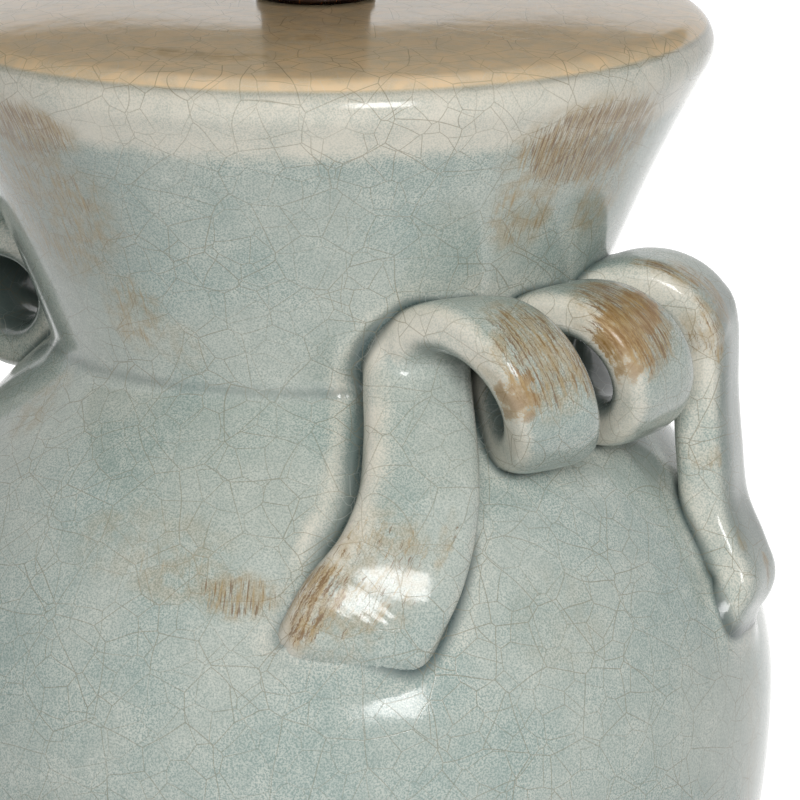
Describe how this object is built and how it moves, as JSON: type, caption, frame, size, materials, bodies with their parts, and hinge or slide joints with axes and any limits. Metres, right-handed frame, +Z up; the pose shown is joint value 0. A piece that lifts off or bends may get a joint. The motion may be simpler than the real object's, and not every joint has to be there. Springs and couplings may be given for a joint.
{
  "type": "table lamp",
  "caption": "Table lamp: a crackle-glazed stoneware ginger jar with coiled strap handles, a bronze neck, a harp and a tapered linen shade.",
  "frame": {"origin": "centre of the felt pad's underside, on the table", "axes": "+Z up the lamp's axis; the handles are at +X and -X; the switch knob points at -Y and the cord leaves at +Y"},
  "size_m": [0.4073, 0.4074, 0.7191],
  "materials": {
    "glaze": "glossy crackle glaze, grey green with brushed brown",
    "bronze": "dark oil-rubbed bronze with copper streaks",
    "brass": "satin",
    "zinc": "zinc plated",
    "rubber": "matt",
    "felt": "pressed felt",
    "card": "matt card",
    "phenolic": "moulded black",
    "bulb": "frosted white",
    "liner": "white film",
    "linen": "plain woven",
    "linen_trim": "folded tape"
  },
  "bodies": {
    "base": {"felt_pad": "felt", "hex_nut": "zinc", "lock_washer": "zinc", "base_plate": "zinc", "lamp_pipe": "zinc", "jar": "glaze", "handle_right": "glaze", "handle_left": "glaze", "cord_outlet": "rubber", "neck_ring": "bronze", "neck_bush_lower": "zinc", "neck_bush_upper": "zinc", "neck_tube": "bronze", "neck_cap": "bronze", "harp_saddle": "brass", "harp": "brass", "harp_stud": "brass", "socket_cap": "brass", "socket_shell": "brass", "socket_liner": "card", "socket_insulator": "phenolic", "screw_shell": "brass", "centre_contact": "brass"},
    "switch": {"switch_stem": "brass", "switch_knob": "phenolic"},
    "bulb": {"bulb_tip": "brass", "bulb_plug": "phenolic", "bulb_base": "brass", "bulb_glass": "bulb"},
    "sleeve_right": {"harp_sleeve_right": "brass"},
    "sleeve_left": {"harp_sleeve_left": "brass"},
    "shade": {"shade_fitter": "brass", "shade_bottom_hoop": "brass", "shade_liner": "liner", "shade_linen": "linen", "shade_trim_top": "linen_trim", "shade_trim_bottom": "linen_trim"},
    "finial": {"finial": "bronze"}
  },
  "joints": [
    {"name": "switch_turn", "type": "hinge", "parent": "base", "child": "switch", "pos_m": [0, -0.0184, 0.4821], "axis": [0, -1, 0], "continuous": true},
    {"name": "bulb_turn", "type": "hinge", "parent": "base", "child": "bulb", "pos_m": [0, 0, 0.51935], "axis": [0, 0, 1], "continuous": true},
    {"name": "sleeve_right_lift", "type": "slide", "parent": "base", "child": "sleeve_right", "axis": [0, 0, 1], "range_m": [0, 0.014]},
    {"name": "sleeve_left_lift", "type": "slide", "parent": "base", "child": "sleeve_left", "axis": [0, 0, 1], "range_m": [0, 0.014]},
    {"name": "shade_turn", "type": "hinge", "parent": "base", "child": "shade", "pos_m": [0, 0, 0.6828], "axis": [0, 0, 1], "continuous": true},
    {"name": "finial_turn", "type": "hinge", "parent": "base", "child": "finial", "pos_m": [0, 0, 0.6851], "axis": [0, 0, 1], "continuous": true}
  ]
}
